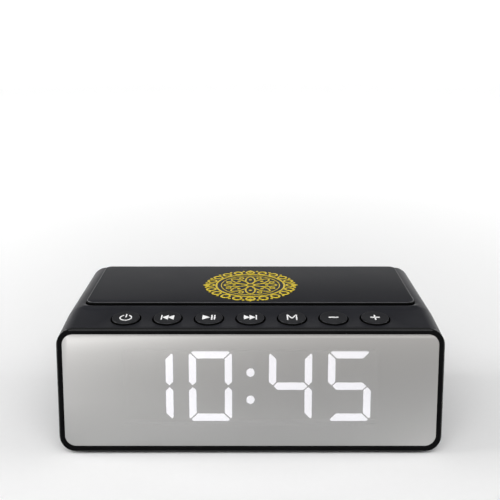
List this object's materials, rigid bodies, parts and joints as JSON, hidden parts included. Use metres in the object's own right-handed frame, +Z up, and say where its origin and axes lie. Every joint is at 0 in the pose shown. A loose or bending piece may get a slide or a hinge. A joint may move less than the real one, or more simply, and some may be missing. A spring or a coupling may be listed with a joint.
{
  "type": "azan_clock",
  "caption": "Black desk clock with a mirrored front over large lit digits, a row of keys on its sloping deck, a gold badge on its top panel and a speaker behind",
  "frame": {"origin": "On the surface under the middle of the case, at the bottoms of the feet", "axes": "+Z up, -Y out of the mirrored front, +X to the right when facing the front"},
  "size_m": [0.16, 0.0794, 0.0581],
  "materials": {
    "satin_black_plastic": "satin black moulded plastic",
    "gloss_black_plastic": "polished black plastic",
    "panel_plastic": "fine matt charcoal plastic",
    "key_plastic": "satin black plastic",
    "mirror_lens": "half-silvered mirror",
    "gold_foil": "bright yellow gold foil",
    "black_rubber": "matt black rubber",
    "adhesive_tape": "dark grey adhesive tape",
    "white_diffuser": "milky white light guide",
    "display_plastic": "matt black moulded plastic",
    "green_board": "green solder mask",
    "zinc_steel": "bright zinc plated steel",
    "port_nylon": "black nylon",
    "cone_paper": "black pressed paper",
    "magnet_ferrite": "dark grey plated iron",
    "coil_copper": "varnished copper wire",
    "cell_wrap": "blue shrink wrap",
    "lead_insulation": "red insulation",
    "ribbon_film": "pale ribbon film"
  },
  "bodies": {
    "case": {"aux_jack": "port_nylon", "base_cover": "satin_black_plastic", "base_screw_1": "zinc_steel", "base_screw_2": "zinc_steel", "base_screw_3": "zinc_steel", "base_screw_4": "zinc_steel", "battery_cell": "cell_wrap", "battery_lead": "lead_insulation", "card_slot": "zinc_steel", "display_board": "green_board", "display_board_screw_1": "zinc_steel", "display_board_screw_2": "zinc_steel", "display_housing": "display_plastic", "display_ribbon": "ribbon_film", "front_bezel": "gloss_black_plastic", "key_board": "green_board", "key_board_screw_1": "zinc_steel", "key_board_screw_2": "zinc_steel", "key_ribbon": "ribbon_film", "lens_tape": "adhesive_tape", "main_board": "green_board", "main_board_screw_1": "zinc_steel", "main_board_screw_2": "zinc_steel", "main_housing": "satin_black_plastic", "medallion": "gold_foil", "mirror_lens": "mirror_lens", "panel_tape": "adhesive_tape", "rear_panel": "satin_black_plastic", "rear_panel_screw_1": "zinc_steel", "rear_panel_screw_2": "zinc_steel", "rear_panel_screw_3": "zinc_steel", "rear_panel_screw_4": "zinc_steel", "rubber_foot_1": "black_rubber", "rubber_foot_2": "black_rubber", "rubber_foot_3": "black_rubber", "rubber_foot_4": "black_rubber", "segment_diffuser": "white_diffuser", "speaker_basket": "magnet_ferrite", "speaker_gasket": "black_rubber", "speaker_grille": "satin_black_plastic", "speaker_lead": "lead_insulation", "speaker_magnet": "magnet_ferrite", "speaker_screw_1": "zinc_steel", "speaker_screw_2": "zinc_steel", "speaker_screw_3": "zinc_steel", "speaker_screw_4": "zinc_steel", "speaker_surround": "black_rubber", "top_panel": "panel_plastic", "usb_c_socket": "zinc_steel", "usb_c_tongue": "port_nylon"},
    "power_key": {"button_power": "key_plastic"},
    "previous_key": {"button_previous": "key_plastic"},
    "play_pause_key": {"button_play_pause": "key_plastic"},
    "next_key": {"button_next": "key_plastic"},
    "mode_key": {"button_mode": "key_plastic"},
    "minus_key": {"button_minus": "key_plastic"},
    "plus_key": {"button_plus": "key_plastic"},
    "diaphragm": {"speaker_cone": "cone_paper", "speaker_dust_cap": "cone_paper", "voice_coil": "coil_copper"}
  },
  "joints": [
    {"name": "power_press", "type": "slide", "parent": "case", "child": "power_key", "axis": [0, 0.0864, -0.9963], "range_m": [0, 0.0006], "stiffness_N_per_m": 500, "springref_m": -0.001},
    {"name": "previous_press", "type": "slide", "parent": "case", "child": "previous_key", "axis": [0, 0.0864, -0.9963], "range_m": [0, 0.0006], "stiffness_N_per_m": 500, "springref_m": -0.001},
    {"name": "play_pause_press", "type": "slide", "parent": "case", "child": "play_pause_key", "axis": [0, 0.0864, -0.9963], "range_m": [0, 0.0006], "stiffness_N_per_m": 500, "springref_m": -0.001},
    {"name": "next_press", "type": "slide", "parent": "case", "child": "next_key", "axis": [0, 0.0864, -0.9963], "range_m": [0, 0.0006], "stiffness_N_per_m": 500, "springref_m": -0.001},
    {"name": "mode_press", "type": "slide", "parent": "case", "child": "mode_key", "axis": [0, 0.0864, -0.9963], "range_m": [0, 0.0006], "stiffness_N_per_m": 500, "springref_m": -0.001},
    {"name": "minus_press", "type": "slide", "parent": "case", "child": "minus_key", "axis": [0, 0.0864, -0.9963], "range_m": [0, 0.0006], "stiffness_N_per_m": 500, "springref_m": -0.001},
    {"name": "plus_press", "type": "slide", "parent": "case", "child": "plus_key", "axis": [0, 0.0864, -0.9963], "range_m": [0, 0.0006], "stiffness_N_per_m": 500, "springref_m": -0.001},
    {"name": "diaphragm_stroke", "type": "slide", "parent": "case", "child": "diaphragm", "axis": [0, 1, 0], "range_m": [-0.0008, 0.0008], "stiffness_N_per_m": 1200}
  ]
}
